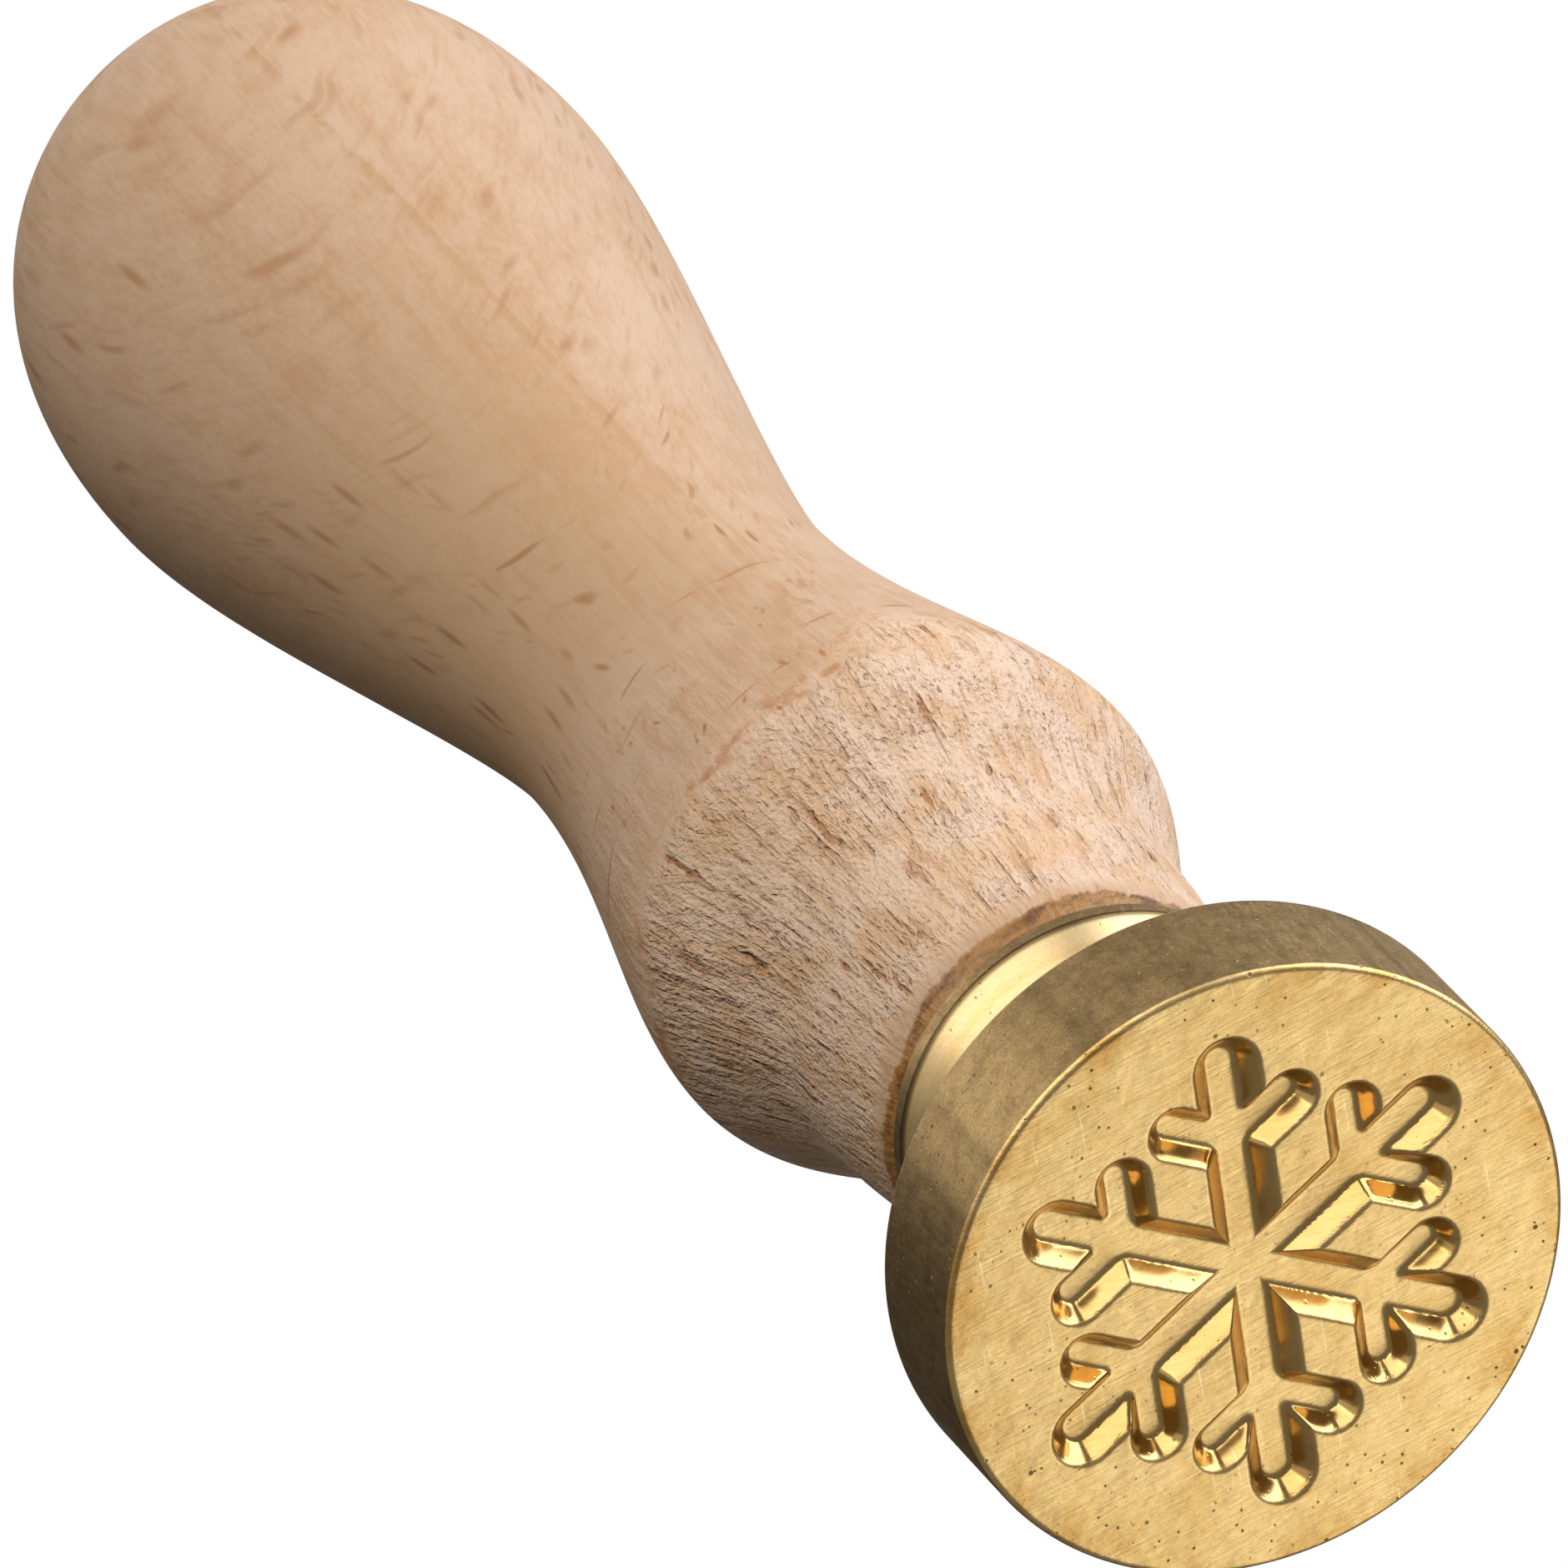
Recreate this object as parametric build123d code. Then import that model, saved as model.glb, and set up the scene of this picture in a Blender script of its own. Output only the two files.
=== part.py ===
from build123d import *
import math
import os

# Wax seal stamp, sizes in mm. The engraved face lies at z = 0 and the handle stands up from it along +Z.

# Brass head
FACE_DIAMETER = 25.0
FLANGE_THICKNESS = 5.9
HEAD_HEIGHT = 15.2  # engraved face to the seat of the handle
NECK_DIAMETER = 16.2  # straight band that the handle sits on
NECK_WAIST_DIAMETER = 13.8  # narrowest part of the hollow below that band
NECK_BAND = 0.9
RIM_ROUND = 0.3  # both edges of the flange
SEAT_ROUND = 0.25  # edge of the band under the handle
COVE_SHARE = 0.2  # how much of the flange's ledge the hollow runs out over

# Engraving, a six-armed snowflake cut into the face
ENGRAVING_DEPTH = 0.9
MOTIF_SHARE = 0.8  # snowflake's span as a share of the face
ARM_WIDTH = 2.6
BRANCH_WIDTH = 2.1
FLOOR_SHARE = 0.44  # flat floor as a share of each groove's width, the rest is sloping wall
BRANCH_AT = 0.54  # where the branches leave an arm, as a share of its length
BRANCH_LENGTH_SHARE = 0.27  # branch length as a share of the arm
ARMS = 6

# Hanger bolt, machine thread below and wood thread above
THREAD_DIAMETER = 6.0
THREAD_ENGAGEMENT = 9.0
THREAD_CLEARANCE = 0.05
HOLE_RELIEF = 1.0  # free depth under the bolt's tip
BOLT_CHAMFER = 0.6
SHANK_LENGTH = 2.5  # full-diameter part inside the handle
WOOD_SCREW_DIAMETER = 5.0
WOOD_SCREW_LENGTH = 19.0  # above the shank, point included
SCREW_POINT = 4.5

# Turned beech handle: diameters at its stations, and where they lie as shares of its length
HANDLE_LENGTH = 88.0
FOOT_DIAMETER = 15.9
THROAT_DIAMETER = 16.8
SWELL_DIAMETER = 21.9
WAIST_DIAMETER = 15.2
BULB_INSET = 0.3  # the bulb is turned to just under the face's diameter
THROAT_SHARE = 0.098
SWELL_SHARE = 0.193
WAIST_SHARE = 0.453
BULB_SHARE = 0.831
FOOT_CHAMFER = 0.65  # radial, the darkened bevel above the brass
FOOT_CHAMFER_HEIGHT = 1.5

DRILL_POINT = 59.0  # half angle of a drill's tip, degrees

face_r = FACE_DIAMETER / 2
neck_r = NECK_DIAMETER / 2
waist_r = NECK_WAIST_DIAMETER / 2
thread_r = THREAD_DIAMETER / 2
screw_r = WOOD_SCREW_DIAMETER / 2
seat_z = HEAD_HEIGHT
top_z = seat_z + HANDLE_LENGTH


def turned(*edges):
    """A solid turned about Z from edges drawn as (radius, height)."""
    return revolve(Plane.XZ * make_face(list(edges)), Axis.Z)


def path(*points):
    return [Line(a, b) for a, b in zip(points, points[1:])]


# Brass head: flange, hollowed neck and the band under the handle
band_z = seat_z - NECK_BAND
cove_r = neck_r + COVE_SHARE * (face_r - RIM_ROUND - neck_r)
head_edges = [
    Line((0, 0), (face_r - RIM_ROUND, 0)),
    TangentArc((face_r - RIM_ROUND, 0), (face_r, RIM_ROUND), tangent=(1, 0)),
    Line((face_r, RIM_ROUND), (face_r, FLANGE_THICKNESS - RIM_ROUND)),
    TangentArc((face_r, FLANGE_THICKNESS - RIM_ROUND), (face_r - RIM_ROUND, FLANGE_THICKNESS), tangent=(0, 1)),
    Line((face_r - RIM_ROUND, FLANGE_THICKNESS), (cove_r, FLANGE_THICKNESS)),
    ThreePointArc((cove_r, FLANGE_THICKNESS), (waist_r, (FLANGE_THICKNESS + band_z) / 2), (neck_r, band_z)),
    Line((neck_r, band_z), (neck_r, seat_z - SEAT_ROUND)),
    TangentArc((neck_r, seat_z - SEAT_ROUND), (neck_r - SEAT_ROUND, seat_z), tangent=(0, 1)),
    Line((neck_r - SEAT_ROUND, seat_z), (0, seat_z)),
    Line((0, seat_z), (0, 0)),
]
seal_head = turned(*head_edges)

# Threaded blind hole, drilled from the seat
hole_r = thread_r + THREAD_CLEARANCE
hole_z = seat_z - THREAD_ENGAGEMENT - HOLE_RELIEF
tip_z = hole_z - hole_r / math.tan(math.radians(DRILL_POINT))
mouth = BOLT_CHAMFER
seal_head -= turned(*path(
    (0, tip_z), (hole_r, hole_z), (hole_r, seat_z - mouth), (hole_r + mouth, seat_z), (0, seat_z), (0, tip_z)
))


def groove(length, width):
    """Round-ended groove with sloping walls and a flat floor, lying along X with its middle at the origin."""
    slope = math.degrees(math.atan((1 - FLOOR_SHARE) * width / 2 / ENGRAVING_DEPTH))
    return extrude(SlotOverall(length, width), amount=ENGRAVING_DEPTH, taper=slope)


# Snowflake: bars across the face, and a pair of branches near the end of each arm
arm = MOTIF_SHARE * face_r
snowflake = Part()
for k in range(ARMS // 2):
    snowflake += Rot(0, 0, 360 / ARMS * k) * groove(2 * arm, ARM_WIDTH)
branch = BRANCH_LENGTH_SHARE * arm + BRANCH_WIDTH
for k in range(ARMS):
    for side in (-60, 60):
        place = Rot(0, 0, 360 / ARMS * k) * Pos(BRANCH_AT * arm, 0, 0) * Rot(0, 0, side)
        snowflake += place * Pos((branch - BRANCH_WIDTH) / 2, 0, 0) * groove(branch, BRANCH_WIDTH)
seal_head -= snowflake


# Hanger bolt, and the bore that it fills in the handle
def bolt_outline(gap):
    """Radius and height of the bolt from its shank to its point, gap wider all round."""
    shank_z = seat_z + SHANK_LENGTH + gap
    point_z = seat_z + SHANK_LENGTH + WOOD_SCREW_LENGTH
    return [
        (thread_r + gap, shank_z),
        (screw_r + gap, shank_z + thread_r - screw_r),
        (screw_r + gap, point_z - SCREW_POINT + gap),
        (0, point_z + 2 * gap),
    ]


bolt_z = seat_z - THREAD_ENGAGEMENT
hanger_bolt = turned(*path(
    (0, bolt_z), (thread_r - BOLT_CHAMFER, bolt_z), (thread_r, bolt_z + BOLT_CHAMFER), *bolt_outline(0), (0, bolt_z)
))


# Turned handle
def swing(low, high, low_pull, high_pull):
    """Curve between two stations that runs along the axis at both ends."""
    rise = high[1] - low[1]
    return Bezier(low, (low[0], low[1] + low_pull * rise), (high[0], high[1] - high_pull * rise), high)


foot = (FOOT_DIAMETER / 2, seat_z + FOOT_CHAMFER_HEIGHT)
throat = (THROAT_DIAMETER / 2, seat_z + THROAT_SHARE * HANDLE_LENGTH)
swell = (SWELL_DIAMETER / 2, seat_z + SWELL_SHARE * HANDLE_LENGTH)
waist = (WAIST_DIAMETER / 2, seat_z + WAIST_SHARE * HANDLE_LENGTH)
bulb = (face_r - BULB_INSET / 2, seat_z + BULB_SHARE * HANDLE_LENGTH)
crown = top_z - bulb[1]
handle = turned(
    Line((0, seat_z), (foot[0] - FOOT_CHAMFER, seat_z)),
    Line((foot[0] - FOOT_CHAMFER, seat_z), foot),
    swing(foot, throat, 0.35, 0.4),
    swing(throat, swell, 0.28, 0.16),
    swing(swell, waist, 0.18, 0.41),
    swing(waist, bulb, 0.2, 0.21),
    Bezier(bulb, (bulb[0], bulb[1] + 0.7 * crown), (0.7 * bulb[0], top_z), (0, top_z)),
    Line((0, top_z), (0, seat_z)),
)
bore = bolt_outline(THREAD_CLEARANCE)
handle -= turned(*path((0, seat_z), (bore[0][0], seat_z), *bore, (0, seat_z)))

os.makedirs("parts", exist_ok=True)
for name, solid in (("seal_head", seal_head), ("hanger_bolt", hanger_bolt), ("handle", handle)):
    export_step(solid, f"parts/{name}.step")
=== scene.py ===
import math

import bmesh
import bpy
from mathutils import Matrix, Vector


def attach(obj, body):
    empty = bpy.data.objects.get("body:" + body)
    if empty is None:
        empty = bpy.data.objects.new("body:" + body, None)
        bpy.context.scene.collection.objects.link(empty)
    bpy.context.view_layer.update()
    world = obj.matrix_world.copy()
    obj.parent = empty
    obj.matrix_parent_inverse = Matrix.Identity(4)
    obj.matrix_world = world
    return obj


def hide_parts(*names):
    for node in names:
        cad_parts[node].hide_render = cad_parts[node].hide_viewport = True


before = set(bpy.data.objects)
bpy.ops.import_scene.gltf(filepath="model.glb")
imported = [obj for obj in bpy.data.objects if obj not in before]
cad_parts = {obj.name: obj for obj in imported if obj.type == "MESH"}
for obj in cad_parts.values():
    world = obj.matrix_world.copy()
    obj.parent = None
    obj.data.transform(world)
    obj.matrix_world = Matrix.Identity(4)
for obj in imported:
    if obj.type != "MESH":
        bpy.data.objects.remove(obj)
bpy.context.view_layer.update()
print("frame loaded")

mm = 0.001
straightWithin = math.radians(0.2)
creaseFrom = math.radians(24)


# node helpers
def setInput(tree, socket, value):
    if isinstance(value, bpy.types.NodeSocket):
        tree.links.new(value, socket)
    else:
        socket.default_value = value


def addNode(tree, kind, inputs=None, **props):
    made = tree.nodes.new(kind)
    for key, value in props.items():
        setattr(made, key, value)
    for key, value in (inputs or {}).items():
        setInput(tree, made.inputs[key], value)
    return made


def calc(tree, operation, a, b=0.0, c=0.0):
    return addNode(tree, "ShaderNodeMath", {0: a, 1: b, 2: c}, operation=operation).outputs[0]


def times(tree, *values):
    result = values[0]
    for value in values[1:]:
        result = calc(tree, "MULTIPLY", result, value)
    return result


def ramp(tree, value, low, high, toLow=0.0, toHigh=1.0):
    inputs = {"Value": value, "From Min": low, "From Max": high, "To Min": toLow, "To Max": toHigh}
    return addNode(tree, "ShaderNodeMapRange", inputs, interpolation_type="SMOOTHSTEP").outputs["Result"]


def mixColour(tree, factor, a, b):
    made = addNode(tree, "ShaderNodeMix", data_type="RGBA")
    for place, value in ((0, factor), (6, a), (7, b)):
        setInput(tree, made.inputs[place], value)
    return made.outputs[2]


def sized(tree, place, size, turn=(0, 0, 0), shift=(0, 0, 0)):
    # pattern space whose unit is size along axes turned by turn
    inputs = {"Vector": place, "Scale": size, "Rotation": turn, "Location": shift}
    return addNode(tree, "ShaderNodeMapping", inputs, vector_type="TEXTURE").outputs["Vector"]


def noise(tree, place, size, turn=(0, 0, 0), detail=2.0, rough=0.5):
    inputs = {"Vector": sized(tree, place, size, turn), "Scale": 1.0, "Detail": detail, "Roughness": rough}
    return addNode(tree, "ShaderNodeTexNoise", inputs).outputs["Fac"]


def cells(tree, place, size, turn=(0, 0, 0), shift=(0, 0, 0)):
    # distance to the nearest cell centre, and two numbers drawn for that cell
    inputs = {"Vector": sized(tree, place, size, turn, shift), "Scale": 1.0}
    made = addNode(tree, "ShaderNodeTexVoronoi", inputs)
    lots = addNode(tree, "ShaderNodeSeparateColor", {"Color": made.outputs["Color"]})
    return made.outputs["Distance"], lots.outputs[0], lots.outputs[1]


def shaken(tree, place, base, size, detail, reach):
    # base pushed about by up to reach on each axis, in waves of the given size
    inputs = {"Vector": sized(tree, place, (size, size, size)), "Scale": 1.0, "Detail": detail}
    waves = addNode(tree, "ShaderNodeTexNoise", inputs).outputs["Color"]
    inputs = {0: waves, 1: (reach, reach, reach), 2: base}
    return addNode(tree, "ShaderNodeVectorMath", inputs, operation="MULTIPLY_ADD").outputs[0]


def fromAxis(tree, place):
    across = addNode(tree, "ShaderNodeVectorMath", {0: place, 1: (1, 1, 0)}, operation="MULTIPLY").outputs[0]
    return addNode(tree, "ShaderNodeVectorMath", {0: across}, operation="LENGTH").outputs["Value"]


def rest(tree, share):
    return calc(tree, "SUBTRACT", 1.0, share)


def bump(tree, height, strength, depth, below=None):
    inputs = {"Height": height, "Strength": strength, "Distance": depth * mm}
    if below is not None:
        inputs["Normal"] = below
    return addNode(tree, "ShaderNodeBump", inputs).outputs["Normal"]


def newMaterial(name):
    material = bpy.data.materials.new(name)
    material.use_nodes = True
    tree = material.node_tree
    return material, tree, tree.nodes["Principled BSDF"]


def inMillimetres(tree):
    place = addNode(tree, "ShaderNodeTexCoord").outputs["Object"]
    return sized(tree, place, (mm, mm, mm))


# mesh helpers
def profileMesh(name, points, steps):
    # points are (radius, height, pull in, pull out) in mm; without a pull that side runs straight
    curve = bpy.data.curves.new(name, "CURVE")
    curve.dimensions = "3D"
    curve.resolution_u = steps
    spline = curve.splines.new("BEZIER")
    spline.bezier_points.add(len(points) - 1)
    for knot, (radius, height, pullIn, pullOut) in zip(spline.bezier_points, points):
        knot.co = (radius * mm, 0, height * mm)
        pulls = (("left", pullIn), ("right", pullOut))
        for side, pull in pulls:
            setattr(knot, f"handle_{side}_type", "FREE" if pull else "VECTOR")
        for side, pull in pulls:
            if pull:
                setattr(knot, f"handle_{side}", ((radius + pull[0]) * mm, 0, (height + pull[1]) * mm))
    holder = bpy.data.objects.new(name, curve)
    mesh = bpy.data.meshes.new_from_object(holder)
    bpy.data.objects.remove(holder)
    bpy.data.curves.remove(curve)
    bm = bmesh.new()
    bm.from_mesh(mesh)
    bpy.data.meshes.remove(mesh)
    # straight runs need no points of their own
    bmesh.ops.dissolve_limit(bm, angle_limit=straightWithin, verts=bm.verts[:], edges=bm.edges[:])
    return bm


def arcPulls(a, b, c):
    # pulls of a round arc from a over b to c: out of a, into b, out of b, into c
    a, b, c = Vector(a), Vector(b), Vector(c)
    d = 2 * (a.x * (b.y - c.y) + b.x * (c.y - a.y) + c.x * (a.y - b.y))
    aa, bb, cc = a.length_squared, b.length_squared, c.length_squared
    centre = Vector((aa * (b.y - c.y) + bb * (c.y - a.y) + cc * (a.y - b.y),
                     aa * (c.x - b.x) + bb * (a.x - c.x) + cc * (b.x - a.x))) / d
    pulls = []
    for p, q in ((a - centre, b - centre), (b - centre, c - centre)):
        sweep = p.angle_signed(q)
        k = 4 / 3 * math.tan(sweep / 4)
        pulls += [(k * p.y, -k * p.x), (-k * q.y, k * q.x)]
    return pulls


def turn(bm, steps):
    bmesh.ops.spin(bm, geom=bm.verts[:] + bm.edges[:], cent=(0, 0, 0), axis=(0, 0, 1), angle=2 * math.pi,
                   steps=steps, use_merge=True)
    bmesh.ops.remove_doubles(bm, verts=bm.verts[:], dist=2e-7)
    bmesh.ops.recalc_face_normals(bm, faces=bm.faces[:])


def finishPiece(bm, name, material, node, body, softZone=None):
    for f in bm.faces:
        f.smooth = True
    for e in bm.edges:
        flowing = e.calc_face_angle(0.0) < creaseFrom
        e.smooth = flowing or bool(softZone and softZone(e))
    mesh = bpy.data.meshes.new(name)
    bm.to_mesh(mesh)
    bm.free()
    mesh.materials.append(material)
    piece = bpy.data.objects.new(name, mesh)
    bpy.context.scene.collection.objects.link(piece)
    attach(piece, body)
    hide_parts(node)
    triangles = sum(len(p.vertices) - 2 for p in mesh.polygons)
    print(f"{name} made, {triangles} triangles")
    return piece


# turned beech handle
handle = {
    "seat": 15.2,
    "length": 88.0,
    "footRadius": 7.95,
    "footBevel": (0.65, 1.5),
    "throat": (8.4, 0.098),
    "swell": (10.95, 0.193),
    "waist": (7.6, 0.453),
    "bulb": (12.35, 0.831),
    "bore": ((2.55, 17.05), (2.55, 3.05), (3.05, 2.55), (3.05, 0)),
    "boreTip": 21.6,
    "footPull": 0.35,
    "throatPulls": (0.4, 0.28),
    "swellPulls": (0.16, 0.18),
    "waistPulls": (0.41, 0.2),
    "bulbPulls": (0.21, 0.7),
    "topPull": 0.7,
    "stepsAround": 192,
    "stepsAlong": 48,
}


def beechMaterial():
    pale = (0.73, 0.495, 0.32, 1)
    warm = (0.62, 0.37, 0.19, 1)
    pink = (0.95, 0.68, 0.48, 1)
    tan = (0.58, 0.285, 0.12, 1)
    rayBrownAndShade = (0.48, 0.205, 0.07, 1)
    pitBrown = (0.30, 0.135, 0.05, 1)
    peach = (0.88, 0.56, 0.32, 1)
    rust = (0.50, 0.19, 0.05, 1)
    honey = (0.60, 0.36, 0.17, 1)
    amber = (0.43, 0.2, 0.04, 1)
    darkAmber = (0.16, 0.05, 0.008, 1)
    # fibres lean back from the turning axis; rays lie across them, flat towards -Y
    lean = (math.radians(-13), 0, math.radians(6))
    along = (math.radians(-3), 0, 0)
    slant = (0, math.radians(-31), 0)
    skinRadius = 9.0
    pithAway = 12.2
    yearWidth = 18.0
    lapWidth = 2.8

    material, tree, shader = newMaterial("turnedBeech")
    place = inMillimetres(tree)
    axes = addNode(tree, "ShaderNodeSeparateXYZ", {"Vector": place}).outputs
    height = axes["Z"]
    sharp = ramp(tree, height, 76, 48, 0.36, 0.9)

    # every place moved out to one cylinder, where marks along the surface run straight
    widen = calc(tree, "DIVIDE", skinRadius, fromAxis(tree, place))
    widen = addNode(tree, "ShaderNodeCombineXYZ", {"X": widen, "Y": widen, "Z": 1.0}).outputs[0]
    skin = addNode(tree, "ShaderNodeVectorMath", {0: place, 1: widen}, operation="MULTIPLY").outputs[0]
    split = shaken(tree, place, skin, 0.9, 2.0, 0.7)

    # growth rings, so far from the pith that they run straight up the handle
    sway = noise(tree, place, (16, 16, 60), detail=2)
    reach = calc(tree, "MULTIPLY_ADD", sway, 2.0, calc(tree, "ADD", axes["X"], pithAway))
    year = calc(tree, "FRACT", calc(tree, "DIVIDE", reach, yearWidth))
    lateWood = times(tree, ramp(tree, year, 0.3, 0.99), ramp(tree, year, 1.0, 0.99))
    ringLine = times(tree, ramp(tree, year, 0.965, 0.99), ramp(tree, year, 1.0, 0.992))

    # plain wood
    patch = noise(tree, place, (8, 8, 20), lean, detail=3)
    mottle = noise(tree, place, (1.3, 1.3, 2.2), lean, detail=3, rough=0.6)
    streak = noise(tree, place, (0.22, 0.22, 3.5), lean, detail=3, rough=0.65)
    tone = calc(tree, "MULTIPLY_ADD", patch, 0.6, times(tree, streak, 0.5))
    tone = calc(tree, "MULTIPLY_ADD", mottle, 0.45, tone)
    tone = calc(tree, "MULTIPLY_ADD", lateWood, 0.05, tone)
    tone = calc(tree, "MULTIPLY_ADD", times(tree, ringLine, ramp(tree, mottle, 0.35, 0.6)), 0.2, tone)
    colour = mixColour(tree, ramp(tree, tone, 0.62, 1.06), pale, warm)
    # painted warm light: a honey tint over the waist, fading out towards +X
    waistWarmLight = times(tree, ramp(tree, height, 40, 50), ramp(tree, height, 78, 64))
    waistWarmLight = times(tree, waistWarmLight, ramp(tree, axes["X"], 6, 2), 0.5)
    colour = mixColour(tree, waistWarmLight, colour, honey)

    # medullary rays: broad flecks where they lie flat, dashes where they are cut across
    bent = shaken(tree, place, place, 4, 1.0, 1)
    spread = ramp(tree, height, 58, 84, 0.34, 0.66)
    rayAway, rayLot, rayShade = cells(tree, bent, (6.5, 0.3, 3.2), lean)
    ray = times(tree, ramp(tree, rayAway, spread, 0.12), ramp(tree, rayLot, 0.55, 0.65), sharp)
    fineAway, fineLot = cells(tree, bent, (2.4, 0.2, 1.7), lean, (3, 7, 1))[:2]
    fineRay = times(tree, ramp(tree, fineAway, spread, 0.14), ramp(tree, fineLot, 0.6, 0.8), sharp)
    colour = mixColour(tree, times(tree, ray, ramp(tree, rayShade, 0, 1, 0.35, 0.85)), colour, rayBrownAndShade)
    colour = mixColour(tree, times(tree, ray, ramp(tree, rayShade, 0.6, 0.9), 0.3), colour, pitBrown)
    colour = mixColour(tree, times(tree, fineRay, 0.36), colour, rayBrownAndShade)
    broadAway, broadLot, broadShade = cells(tree, bent, (6, 0.75, 3.2), lean, (1, 2, 5))
    broad = times(tree, ramp(tree, broadAway, 0.4, 0.08), ramp(tree, broadLot, 0.42, 0.58))
    broad = times(tree, broad, ramp(tree, height, 52, 66))
    colour = mixColour(tree, times(tree, broad, ramp(tree, broadShade, 0, 1, 0.3, 0.65)), colour, rayBrownAndShade)

    # soft lines along the grain, and brown dashes where rays are cut across towards -X
    line = ramp(tree, noise(tree, skin, (0.7, 0.7, 16), along, detail=3, rough=0.6), 0.48, 0.7)
    colour = mixColour(tree, times(tree, line, 0.3), colour, tan)
    strokeAway, strokeLot, strokeShade = cells(tree, skin, (0.85, 0.85, 6.5), along, (7, 2, 4))
    stroke = times(tree, ramp(tree, strokeAway, 0.3, 0.06), ramp(tree, strokeLot, 0.12, 0.22))
    stroke = times(tree, stroke, ramp(tree, axes["X"], 0, -6), ramp(tree, height, 38, 44))
    colour = mixColour(tree, times(tree, stroke, ramp(tree, strokeShade, 0, 1, 0.3, 0.75)), colour, rayBrownAndShade)
    colour = mixColour(tree, times(tree, stroke, ramp(tree, height, 76, 62), 0.4), colour, pitBrown)

    # grain torn out between the foot and the swell, where the tool cut against it
    blotch = noise(tree, place, (1.3, 1.3, 1.3), detail=3, rough=0.6)
    drift = noise(tree, place, (6, 6, 6), detail=1)
    limit = calc(tree, "MULTIPLY_ADD", drift, 6.0, calc(tree, "MULTIPLY_ADD", blotch, 2.4, height))
    limit = calc(tree, "SUBTRACT", limit, ramp(tree, axes["X"], 2, 9, 0.0, 4.0))
    aboveFoot = ramp(tree, height, 16.4, 18.0)
    torn = times(tree, ramp(tree, limit, 37.2, 35.2), aboveFoot)
    combing = calc(tree, "MAXIMUM", torn, ramp(tree, limit, 52, 38, 0.0, 0.3))
    worst = ramp(tree, noise(tree, place, (3.5, 3.5, 4.5), lean, detail=2), 0.35, 0.65, 0.35, 1.0)
    fibre = noise(tree, skin, (0.42, 0.42, 3.0), along, detail=3, rough=0.55)
    crumb = noise(tree, place, (0.2, 0.2, 0.3), lean, detail=2, rough=0.55)
    gougeAway, gougeLot, gougeShade = cells(tree, split, (0.74, 0.74, 7.0), along, (2, 4, 9))
    gouge = times(tree, ramp(tree, gougeAway, 0.24, 0.1), ramp(tree, gougeLot, 0.15, 0.25), torn)
    pit = times(tree, ramp(tree, crumb, 0.42, 0.26), worst, torn)
    combed = ramp(tree, noise(tree, place, (0.28, 0.28, 1.3), slant, detail=2), 0.6, 0.72)
    combed = times(tree, combed, torn, ramp(tree, height, 23, 28))
    bare = times(tree, ramp(tree, limit, 40, 33), aboveFoot)
    flush = noise(tree, place, (2.4, 2.4, 3.4), lean, detail=3)
    fresh = mixColour(tree, ramp(tree, flush, 0.4, 0.62), pink, peach)
    colour = mixColour(tree, times(tree, bare, 0.88), colour, fresh)
    # painted highlight and shade on the torn fibres: pink on their crests, partly the paler torn wood, and
    # tan in their furrows
    colour = mixColour(tree, times(tree, ramp(tree, fibre, 0.5, 0.64), combing, 0.5), colour, pink)
    colour = mixColour(tree, times(tree, ramp(tree, fibre, 0.47, 0.34), combing, 0.36), colour, tan)
    # painted shade in the pits of the torn grain, in the brown of the rays
    colour = mixColour(tree, times(tree, pit, 0.26), colour, rayBrownAndShade)
    colour = mixColour(tree, times(tree, combed, 0.45), colour, rayBrownAndShade)
    colour = mixColour(tree, times(tree, ramp(tree, streak, 0.56, 0.7), torn, 0.3), colour, tan)
    nick = times(tree, ramp(tree, noise(tree, skin, (0.26, 0.26, 3.4), along, detail=1), 0.6, 0.72), torn)
    colour = mixColour(tree, times(tree, nick, 0.45), colour, rayBrownAndShade)
    colour = mixColour(tree, times(tree, gouge, ramp(tree, gougeShade, 0, 1, 0.4, 0.85)), colour, rust)
    # dashes of ray along the upper edge of the torn grain
    dashAway, dashLot, dashShade = cells(tree, split, (0.6, 0.6, 4.2), lean, (5, 1, 2))
    dash = times(tree, ramp(tree, dashAway, 0.2, 0.1), ramp(tree, dashLot, 0.35, 0.45))
    dash = times(tree, dash, ramp(tree, limit, 34, 37), ramp(tree, limit, 50, 43))
    colour = mixColour(tree, times(tree, dash, ramp(tree, dashShade, 0, 1, 0.55, 1.0)), colour, rust)

    # rusty border where the tear starts, and broken lines left round the shoulder by the turning tool
    border = times(tree, ramp(tree, limit, 36.2, 37.0), ramp(tree, limit, 38.4, 37.2))
    border = times(tree, border, ramp(tree, blotch, 0.45, 0.6))
    colour = mixColour(tree, times(tree, border, 0.6), colour, rust)
    lap = calc(tree, "FRACT", calc(tree, "DIVIDE", calc(tree, "MULTIPLY_ADD", drift, 3.0, height), lapWidth))
    lap = times(tree, ramp(tree, lap, 0.0, 0.04), ramp(tree, lap, 0.14, 0.06))
    lap = times(tree, lap, ramp(tree, noise(tree, place, (2.6, 2.6, 1.2), detail=1), 0.52, 0.66))
    lap = times(tree, lap, ramp(tree, limit, 37, 38.5), ramp(tree, height, 49, 45))
    lap = times(tree, lap, ramp(tree, axes["Y"], -2, -5))
    colour = mixColour(tree, times(tree, lap, 0.75), colour, rust)

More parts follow.
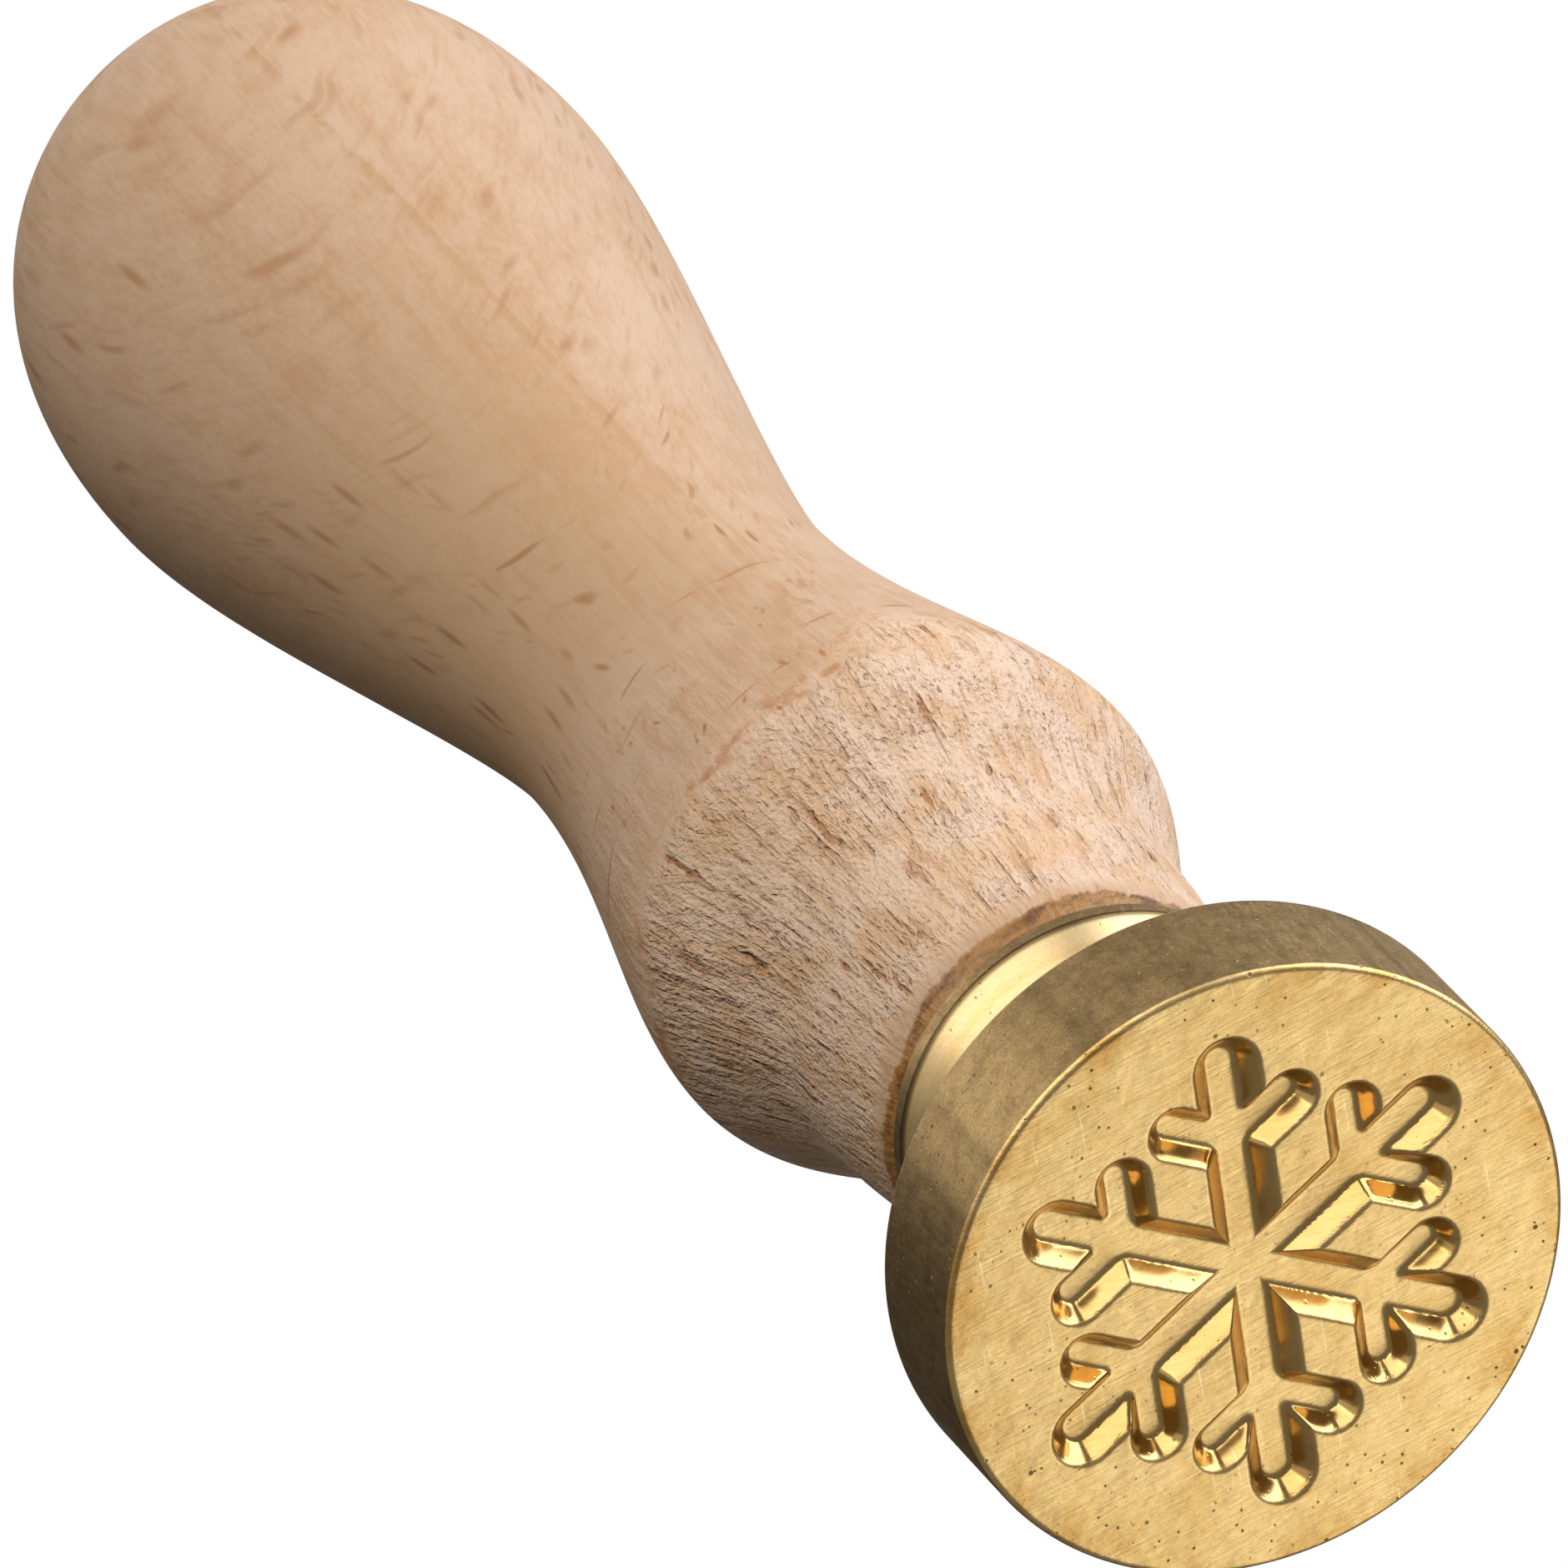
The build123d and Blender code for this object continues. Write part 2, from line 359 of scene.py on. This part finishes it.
    # darkened edge at the foot
    ragged = noise(tree, place, (0.5, 0.5, 0.8), detail=3, rough=0.6)
    swayed = noise(tree, place, (5, 5, 5), detail=1)
    edge = calc(tree, "MULTIPLY_ADD", swayed, -1.0, calc(tree, "MULTIPLY_ADD", ragged, -0.7, height))
    stain = ramp(tree, edge, 15.72, 15.5)
    burnt = noise(tree, place, (1.1, 1.1, 0.5), detail=3, rough=0.6)
    stainColour = mixColour(tree, ramp(tree, burnt, 0.42, 0.7), amber, darkAmber)
    colour = mixColour(tree, times(tree, stain, 0.95), colour, stainColour)
    tree.links.new(colour, shader.inputs["Base Color"])

    gloss = calc(tree, "MULTIPLY_ADD", streak, 0.2, 0.45)
    gloss = calc(tree, "MULTIPLY_ADD", torn, 0.2, gloss)
    gloss = calc(tree, "MULTIPLY_ADD", stain, -0.2, gloss)
    tree.links.new(gloss, shader.inputs["Roughness"])
    shader.inputs["Specular IOR Level"].default_value = 0.5

    # relief: turning marks, fibres, then what is torn out
    normal = bump(tree, noise(tree, place, (30, 30, 0.35), detail=2), 0.25, 0.04)
    normal = bump(tree, streak, 0.35, 0.04, normal)
    normal = bump(tree, times(tree, fibre, combing, worst), 1.0, 0.44, normal)
    normal = bump(tree, times(tree, crumb, combing), 1.0, 0.17, normal)
    sunk = calc(tree, "MULTIPLY_ADD", combed, 0.4, times(tree, pit, 0.3))
    sunk = calc(tree, "MULTIPLY_ADD", nick, 0.4, sunk)
    sunk = calc(tree, "ADD", gouge, sunk)
    normal = bump(tree, rest(tree, sunk), 1.0, 0.1, normal)
    tree.links.new(normal, shader.inputs["Normal"])
    return material


def makeHandle():
    h = handle
    seat, length = h["seat"], h["length"]
    names = ("throat", "swell", "waist", "bulb")
    foot = (h["footRadius"], seat + h["footBevel"][1])
    throat, swell, waist, bulb = ((h[name][0], seat + h[name][1] * length) for name in names)
    top = (0, seat + length)
    stations = (foot, throat, swell, waist, bulb, top)
    toThroat, toSwell, toWaist, toBulb, toTop = (b[1] - a[1] for a, b in zip(stations, stations[1:]))
    bm = profileMesh("handleProfile", [
        (0, seat + h["boreTip"], None, None),
        *((radius, seat + depth, None, None) for radius, depth in h["bore"]),
        (foot[0] - h["footBevel"][0], seat, None, None),
        (*foot, None, (0, h["footPull"] * toThroat)),
        (*throat, (0, -h["throatPulls"][0] * toThroat), (0, h["throatPulls"][1] * toSwell)),
        (*swell, (0, -h["swellPulls"][0] * toSwell), (0, h["swellPulls"][1] * toWaist)),
        (*waist, (0, -h["waistPulls"][0] * toWaist), (0, h["waistPulls"][1] * toBulb)),
        (*bulb, (0, -h["bulbPulls"][0] * toBulb), (0, h["bulbPulls"][1] * toTop)),
        (*top, (h["topPull"] * bulb[0], 0), None),
    ], h["stepsAlong"])
    turn(bm, h["stepsAround"])
    finishPiece(bm, "beechHandle", beechMaterial(), "handle", "grip")


# brass head with its engraved face
head = {
    "faceRadius": 12.5,
    "flange": 5.9,
    "height": 15.2,
    "rim": 0.3,
    "neckRadius": 8.1,
    "neckWaist": 6.9,
    "neckBand": 0.9,
    "seatRound": 0.25,
    "coveShare": 0.2,
    "hole": (3.05, 5.2, 3.37),
    "mouth": 0.6,
    "quarterPull": 0.5523,
    "stepsAround": 288,
    "stepsAlong": 16,
    "faceRings": 88,
    "engravedRadius": 11,
    "fineReaches": (0.36, 0.25),
    "shortEdge": 0.09,
}
snowflake = {
    "depth": 0.9,
    "arm": 10.0,
    "armWidth": 2.6,
    "branchWidth": 2.1,
    "branchAt": 5.4,
    "branchLength": 2.7,
    "floorShare": 0.44,
    "edgeRound": 0.16,
    "blend": 0.4,
}


def sealBrassMaterial():
    bright = (0.83, 0.60, 0.26, 1)
    warm = (0.73, 0.49, 0.18, 1)
    olive = (0.78, 0.52, 0.23, 1)
    polishedAndHighlight = (0.76, 0.56, 0.285, 1)
    amber = (0.56, 0.30, 0.07, 1)
    tarnishAndShade = (0.12, 0.075, 0.028, 1)
    pale = (0.95, 0.80, 0.50, 1)
    material, tree, shader = newMaterial("sealBrass")
    place = inMillimetres(tree)
    height = addNode(tree, "ShaderNodeSeparateXYZ", {"Vector": place}).outputs["Z"]
    radius = fromAxis(tree, place)
    wall = addNode(tree, "ShaderNodeAttribute", attribute_name="grooveWall").outputs["Fac"]
    side = calc(tree, "MAXIMUM", ramp(tree, height, 0.9, 1.3),
                times(tree, ramp(tree, radius, 12.2, 12.45), ramp(tree, height, 0.12, 0.3)))
    face = rest(tree, side)

    cloud = noise(tree, place, (3.2, 3.2, 3.2), detail=4, rough=0.6)
    grit = noise(tree, place, (0.12, 0.12, 0.12), detail=3, rough=0.7)
    brushed = noise(tree, place, (1.6, 0.11, 1.0), (0, 0, math.radians(20)), detail=4, rough=0.7)
    turned = noise(tree, place, (20, 20, 0.14), detail=3)
    banded = noise(tree, place, (1.6, 1.6, 60), detail=3, rough=0.6)

    # brushed face, darker bands and mottling on the flange's side, and the neck's polished hollow with a
    # paler tint that is a painted highlight
    colour = mixColour(tree, ramp(tree, cloud, 0.35, 0.75), bright, warm)
    colour = mixColour(tree, times(tree, side, ramp(tree, cloud, 0.2, 0.7, 0.7, 1.0)), colour, olive)
    colour = mixColour(tree, times(tree, side, ramp(tree, banded, 0.48, 0.68), 0.32), colour, tarnishAndShade)
    colour = mixColour(tree, times(tree, face, ramp(tree, brushed, 0.46, 0.64), 0.2), colour, amber)
    hollow = times(tree, ramp(tree, height, 6.0, 7.0), ramp(tree, height, 14.4, 14.3))
    hollow = times(tree, ramp(tree, radius, 8.11, 8.05), hollow)
    # painted highlight: the polished hollow of the neck tinted paler, as its bright reflection looks
    colour = mixColour(tree, hollow, colour, polishedAndHighlight)
    colour = mixColour(tree, times(tree, hollow, ramp(tree, turned, 0.42, 0.62), 0.6), colour, warm)
    mottled = noise(tree, place, (0.8, 0.8, 0.8), detail=5, rough=0.65)
    dull = times(tree, side, rest(tree, hollow))
    colour = mixColour(tree, times(tree, dull, ramp(tree, mottled, 0.36, 0.74), 0.36), colour, tarnishAndShade)
    dirt = times(tree, ramp(tree, grit, 0.44, 0.6), ramp(tree, dull, 0, 1, 0.1, 0.3))
    colour = mixColour(tree, dirt, colour, tarnishAndShade)
    scored = ramp(tree, noise(tree, place, (0.3, 0.3, 40), detail=2), 0.55, 0.7)
    scored = times(tree, scored, ramp(tree, cloud, 0.5, 0.62))
    colour = mixColour(tree, times(tree, dull, scored, 0.25), colour, tarnishAndShade)
    # painted shade: a dark line along the top of the neck's hollow, under the band
    shadowLine = times(tree, ramp(tree, height, 14.08, 14.26), ramp(tree, height, 14.5, 14.35))
    colour = mixColour(tree, times(tree, shadowLine, 0.9), colour, tarnishAndShade)

    # tarnish in specks, thicker towards the rim, with bright specks on the dull sides
    speckAway, speckLot = cells(tree, place, (0.62, 0.62, 0.62))[:2]
    speck = times(tree, ramp(tree, speckAway, 0.2, 0.08), ramp(tree, speckLot, 0.84, 0.92))
    dotAway, dotLot = cells(tree, place, (0.25, 0.25, 0.25))[:2]
    dots = times(tree, ramp(tree, dotAway, 0.3, 0.12), ramp(tree, dotLot, 0.86, 0.97))
    glint = times(tree, dull, ramp(tree, dotAway, 0.3, 0.12), ramp(tree, dotLot, 0.1, 0.05))
    colour = mixColour(tree, times(tree, glint, 0.7), colour, bright)
    speck = times(tree, calc(tree, "MAXIMUM", speck, dots), ramp(tree, radius, 5.0, 12.3, 0.25, 1.0))

    # stained rim, scratches, and groove walls darker with a painted amber reflection of the walls mirroring
    # each other
    rimStain = times(tree, ramp(tree, radius, 10.6, 12.3), ramp(tree, cloud, 0.42, 0.66), face, 0.75)
    colour = mixColour(tree, rimStain, colour, amber)
    scratchTurn = (0, 0, math.radians(-62))
    scratchAway, scratchLot = cells(tree, place, (4.0, 0.16, 4.0), scratchTurn, (3, 1, 0))[:2]
    scratch = times(tree, ramp(tree, scratchAway, 0.3, 0.12), ramp(tree, scratchLot, 0.9, 0.94), face)
    colour = mixColour(tree, times(tree, scratch, 0.5), colour, pale)
    # painted reflection: groove walls tinted amber, as walls mirroring each other look
    colour = mixColour(tree, times(tree, wall, 0.4), colour, amber)
    colour = mixColour(tree, times(tree, speck, 0.75), colour, tarnishAndShade)
    tree.links.new(colour, shader.inputs["Base Color"])
    shader.inputs["Metallic"].default_value = 1.0

    gloss = calc(tree, "MULTIPLY_ADD", brushed, 0.25, 0.245)
    gloss = calc(tree, "MULTIPLY_ADD", wall, -0.2, gloss)
    gloss = calc(tree, "MULTIPLY_ADD", speck, 0.3, gloss)
    tree.links.new(gloss, shader.inputs["Roughness"])

    plain = rest(tree, wall)
    lumps = noise(tree, place, (0.9, 0.9, 0.9), detail=2)
    normal = bump(tree, times(tree, lumps, face, plain), 0.35, 0.12)
    normal = bump(tree, times(tree, grit, plain), 0.25, 0.02, normal)
    normal = bump(tree, times(tree, brushed, face, plain), 0.45, 0.04, normal)
    normal = bump(tree, times(tree, turned, side), 0.3, 0.015, normal)
    normal = bump(tree, rest(tree, speck), 0.5, 0.04, normal)
    tree.links.new(normal, shader.inputs["Normal"])
    return material


def eased(distance):
    soft = snowflake["edgeRound"]
    if distance <= -soft:
        return 0.0
    return distance if distance >= soft else (distance + soft) ** 2 / (4 * soft)


def groove(x, y):
    # share of the full depth at a place on the face, and how far the nearest edge of a groove is
    s = snowflake
    sector = math.radians(60)
    radius = math.hypot(x, y)
    angle = abs((math.atan2(y, x) + sector / 2) % sector - sector / 2)
    px, py = radius * math.cos(angle), radius * math.sin(angle)
    share, nearest = 0.0, 9.0
    for startX, wayX, wayY, length, width in (
        (0, 1, 0, s["arm"] - s["armWidth"] / 2, s["armWidth"]),
        (s["branchAt"], math.cos(sector), math.sin(sector), s["branchLength"], s["branchWidth"]),
    ):
        along = min(max((px - startX) * wayX + py * wayY, 0), length)
        inside = width / 2 - math.hypot(px - startX - wayX * along, py - wayY * along)
        run = (1 - s["floorShare"]) * width / 2
        own = (eased(inside) - eased(inside - run)) / run
        if min(own, share) > 0.01:
            nearest = min(nearest, abs(own - share) * run)
        shared = max(s["blend"] - abs(own - share), 0) ** 2 / (4 * s["blend"])
        share = max(own, share) + shared * min(1, 4 * min(own, share))
        nearest = min(nearest, abs(inside), abs(inside - run))
    share = min(share, 1.0)
    return share, nearest


def makeHead():
    h = head
    k = h["quarterPull"]
    face, rim, flange, top = h["faceRadius"], h["rim"], h["flange"], h["height"]
    band, neck = top - h["neckBand"], h["neckRadius"]
    cove = (neck + h["coveShare"] * (face - rim - neck), flange)
    hollow = (h["neckWaist"], (flange + band) / 2)
    coveOut, hollowIn, hollowOut, bandIn = arcPulls(cove, hollow, (neck, band))
    soft = h["seatRound"]
    holeRadius, holeFloor, holeTip = h["hole"]
    bm = profileMesh("headProfile", [
        (0, 0, None, None),
        (face - rim, 0, None, (k * rim, 0)),
        (face, rim, (0, -k * rim), None),
        (face, flange - rim, None, (0, k * rim)),
        (face - rim, flange, (k * rim, 0), None),
        (*cove, None, coveOut),
        (*hollow, hollowIn, hollowOut),
        (neck, band, bandIn, None),
        (neck, top - soft, None, (0, k * soft)),
        (neck - soft, top, (k * soft, 0), None),
        (holeRadius + h["mouth"], top, None, None),
        (holeRadius, top - h["mouth"], None, None),
        (holeRadius, holeFloor, None, None),
        (0, holeTip, None, None),
    ], h["stepsAlong"])
    flat = [e for e in bm.edges if all(v.co.z < 1e-9 for v in e.verts)]
    bmesh.ops.subdivide_edges(bm, edges=flat, cuts=h["faceRings"])
    turn(bm, h["stepsAround"])
    # finer mesh along the edges of the engraving
    for reach in h["fineReaches"]:
        close = []
        for e in bm.edges:
            a, b = (v.co / mm for v in e.verts)
            middle = (a + b) / 2
            engraved = max(a.z, b.z) < 1e-5 and middle.length < h["engravedRadius"]
            if engraved and (a - b).length > h["shortEdge"] and groove(middle.x, middle.y)[1] < reach:
                close.append(e)
        bmesh.ops.subdivide_edges(bm, edges=close, cuts=1, use_grid_fill=True)
    wall = bm.verts.layers.float.new("grooveWall")
    for v in bm.verts:
        if v.co.z < 1e-8 and v.co.xy.length < h["engravedRadius"] * mm:
            share = groove(v.co.x / mm, v.co.y / mm)[0]
            v.co.z = share * snowflake["depth"] * mm
            v[wall] = min(1.0, 8 * share * (1 - share))
    bmesh.ops.recalc_face_normals(bm, faces=bm.faces[:])
    finishPiece(bm, "brassHead", sealBrassMaterial(), "seal_head", "head",
                lambda e: min(v[wall] for v in e.verts) > 0.02)


# hanger bolt with its machine thread
bolt = {
    "tip": 6.2,
    "seat": 15.2,
    "radius": 3.0,
    "root": 2.42,
    "chamfer": 0.6,
    "pitch": 1.0,
    "rootShare": 0.12,
    "crestShare": 0.44,
    "spareTurns": 3,
    "threadEnd": 0.4,
    "shankStart": 0.3,
    "stepsATurn": 48,
    "shank": 2.5,
    "screw": (2.5, 19.0, 4.5),
}


def platedSteelMaterial():
    material, tree, shader = newMaterial("platedSteel")
    place = inMillimetres(tree)
    cloud = noise(tree, place, (0.8, 0.8, 0.8), detail=4, rough=0.6)
    rubbed = noise(tree, place, (0.16, 0.16, 0.7), detail=3)
    colour = mixColour(tree, ramp(tree, cloud, 0.3, 0.75), (0.58, 0.57, 0.54, 1), (0.38, 0.36, 0.32, 1))
    tree.links.new(colour, shader.inputs["Base Color"])
    shader.inputs["Metallic"].default_value = 1.0
    tree.links.new(calc(tree, "MULTIPLY_ADD", rubbed, 0.2, 0.25), shader.inputs["Roughness"])
    tree.links.new(bump(tree, rubbed, 0.2, 0.03), shader.inputs["Normal"])
    return material


def makeBolt():
    b = bolt
    bm = bmesh.new()
    # one tooth of the thread, carried up the bolt as it turns
    rise = ((b["root"], 0.0), (b["root"], b["rootShare"]), (b["radius"], b["crestShare"]))
    tooth = rise + tuple((r, 1 - share) for r, share in reversed(rise))
    low = b["tip"] - b["spareTurns"] / 2 * b["pitch"]
    knots = [bm.verts.new((r * mm, 0, (low + share * b["pitch"]) * mm)) for r, share in tooth]
    edges = [bm.edges.new(pair) for pair in zip(knots, knots[1:])]
    turns = math.ceil((b["seat"] - b["tip"]) / b["pitch"]) + b["spareTurns"]
    bmesh.ops.spin(bm, geom=knots + edges, cent=(0, 0, 0), axis=(0, 0, 1), angle=2 * math.pi * turns,
                   steps=turns * b["stepsATurn"], dvec=(0, 0, b["pitch"] * mm / b["stepsATurn"]))
    bmesh.ops.remove_doubles(bm, verts=bm.verts[:], dist=1e-6)
    for height, above in ((b["tip"], True), (b["seat"] + b["threadEnd"], False)):
        everything = bm.verts[:] + bm.edges[:] + bm.faces[:]
        cut = bmesh.ops.bisect_plane(bm, geom=everything, plane_co=(0, 0, height * mm), plane_no=(0, 0, 1),
                                     clear_inner=above, clear_outer=not above, dist=1e-7)
        ring = [e for e in cut["geom_cut"] if isinstance(e, bmesh.types.BMEdge)]
        bmesh.ops.contextual_create(bm, geom=ring)
    # chamfered tip
    for v in bm.verts:
        room = (b["radius"] - b["chamfer"] + v.co.z / mm - b["tip"]) * mm
        if v.co.xy.length > room:
            v.co.xy *= room / v.co.xy.length
    # plain shank and screw inside the handle
    screwRadius, screwLength, point = b["screw"]
    shankFoot = b["seat"] + b["shankStart"]
    shankTop = b["seat"] + b["shank"]
    upper = profileMesh("boltProfile", [
        (0, shankFoot, None, None),
        (b["radius"], shankFoot, None, None),
        (b["radius"], shankTop, None, None),
        (screwRadius, shankTop + b["radius"] - screwRadius, None, None),
        (screwRadius, shankTop + screwLength - point, None, None),
        (0, shankTop + screwLength, None, None),
    ], 4)
    turn(upper, b["stepsATurn"])
    joined = bpy.data.meshes.new("boltUpper")
    upper.to_mesh(joined)
    upper.free()
    bm.from_mesh(joined)
    bpy.data.meshes.remove(joined)
    bmesh.ops.recalc_face_normals(bm, faces=bm.faces[:])
    finishPiece(bm, "threadedBolt", platedSteelMaterial(), "hanger_bolt", "bolt")


# camera, light and floor
studio = {
    "cameraAt": (0.06, -549.22, -748.34),
    "aim": (-0.17, 4.5, 50.53),
    "roll": -43.67,
    "lens": 576.4,
    "sensorWidth": 36,
    "clip": (0.01, 20),
    "floorRadius": 3.0,
    "floorDrop": 0.2,
}


def makeCamera():
    data = bpy.data.cameras.new("photoCamera")
    data.lens = studio["lens"]
    data.sensor_width = studio["sensorWidth"]
    data.clip_start, data.clip_end = studio["clip"]
    camera = bpy.data.objects.new("photoCamera", data)
    bpy.context.scene.collection.objects.link(camera)
    camera.location = Vector(studio["cameraAt"]) * mm
    way = Vector(studio["aim"]) * mm - camera.location
    level = way.to_track_quat("-Z", "Y").to_matrix()
    camera.rotation_euler = (level @ Matrix.Rotation(math.radians(studio["roll"]), 3, "Z")).to_euler()
    bpy.context.scene.camera = camera
    bpy.context.view_layer.update()
    return camera


def addSoftbox(camera, name, towards, distance, side, radiance, colour=(1, 1, 1), aim=(0, 0, 45)):
    # towards is right, up and back as the photograph shows them
    data = bpy.data.lights.new(name, "AREA")
    data.shape = "SQUARE"
    data.size = side
    data.energy = radiance * math.pi * side * side
    data.color = colour
    lamp = bpy.data.objects.new(name, data)
    bpy.context.scene.collection.objects.link(lamp)
    way = (camera.matrix_world.to_3x3() @ Vector(towards)).normalized()
    lamp.location = Vector(aim) * mm + way * distance
    lamp.rotation_euler = (-way).to_track_quat("-Z", "Y").to_euler()
    lamp.visible_camera = False
    return lamp


def makeStudio():
    camera = makeCamera()
    addSoftbox(camera, "keyBox", (0.68, 0.72, 0.02), 0.7, 0.8, 3.1, (0.95, 1.0, 1.12))
    addSoftbox(camera, "frontBox", (-0.49, 0.61, 0.62), 0.7, 0.9, 1.8, (1, 0.98, 0.95))
    addSoftbox(camera, "topBox", (-0.39, 0.41, -0.82), 0.8, 0.6, 0.5)
    back = addSoftbox(camera, "backBox", (0.56, -0.22, -0.8), 0.8, 1.0, 1.3)
    back.visible_glossy = False
    # cards that only the metal mirrors
    cards = (
        addSoftbox(camera, "faceCard", (0.65, -0.68, 0.35), 0.2, 0.16, 1.8, (1, 0.98, 0.94), (24, 66, 0)),
        addSoftbox(camera, "neckCard", (-0.78, 0.0, 0.6), 0.65, 0.5, 0.42, (1, 0.95, 0.9)),
        addSoftbox(camera, "flangeCard", (-0.82, 0.43, -0.38), 0.8, 0.4, 0.6, (1, 0.98, 0.94)),
    )
    for card in cards:
        card.visible_diffuse = False

    # white behind the stamp, a dim warm room for light, and a grey one with a dark corner for mirroring
    world = bpy.data.worlds.new("studioWorld")
    world.use_nodes = True
    bpy.context.scene.world = world
    tree = world.node_tree
    tree.nodes.clear()
    seen = addNode(tree, "ShaderNodeBackground", {"Color": (1, 1, 1, 1), "Strength": 1.0})
    room = addNode(tree, "ShaderNodeBackground", {"Color": (1, 0.86, 0.66, 1), "Strength": 0.025})
    way = addNode(tree, "ShaderNodeTexCoord").outputs["Generated"]
    inputs = {0: way, 1: (0.71, -0.71, 0)}
    slope = addNode(tree, "ShaderNodeVectorMath", inputs, operation="DOT_PRODUCT").outputs["Value"]
    raised = addNode(tree, "ShaderNodeSeparateXYZ", {"Vector": way}).outputs["Z"]
    corner = times(tree, ramp(tree, slope, 0.1, -0.5), ramp(tree, raised, 0.1, 0.5))
    mirror = ramp(tree, corner, 0, 1, 0.2, 0.04)
    mirrored = addNode(tree, "ShaderNodeBackground", {"Color": (1, 0.97, 0.93, 1), "Strength": mirror})
    path = addNode(tree, "ShaderNodeLightPath").outputs
    mix = room
    for ray, view in (("Is Glossy Ray", mirrored), ("Is Camera Ray", seen)):
        mix = addNode(tree, "ShaderNodeMixShader", {0: path[ray], 1: mix.outputs[0], 2: view.outputs[0]})
    addNode(tree, "ShaderNodeOutputWorld", {"Surface": mix.outputs[0]})

    # pale floor under the face, seen from above only
    bm = bmesh.new()
    drop = Matrix.Translation((0, 0, -studio["floorDrop"] * mm))
    bmesh.ops.create_circle(bm, cap_ends=True, radius=studio["floorRadius"], segments=64, matrix=drop)
    mesh = bpy.data.meshes.new("paleFloor")
    bm.to_mesh(mesh)
    bm.free()
    material, tree, shader = newMaterial("floorPaint")
    shader.inputs["Base Color"].default_value = (0.84, 0.83, 0.81, 1)
    shader.inputs["Roughness"].default_value = 0.8
    shader.inputs["Emission Color"].default_value = (1, 0.99, 0.97, 1)
    shader.inputs["Emission Strength"].default_value = 0.5
    clear = addNode(tree, "ShaderNodeBsdfTransparent")
    below = addNode(tree, "ShaderNodeNewGeometry").outputs["Backfacing"]
    mix = addNode(tree, "ShaderNodeMixShader", {0: below, 1: shader.outputs[0], 2: clear.outputs[0]})
    tree.links.new(mix.outputs[0], tree.nodes["Material Output"].inputs["Surface"])
    mesh.materials.append(material)
    floor = bpy.data.objects.new("paleFloor", mesh)
    bpy.context.scene.collection.objects.link(floor)
    floor.visible_shadow = False
    floor.visible_diffuse = False
    floor.visible_glossy = False
    bpy.context.scene.view_settings.view_transform = "Standard"
    print("studio made")


makeHandle()
makeHead()
makeBolt()
makeStudio()
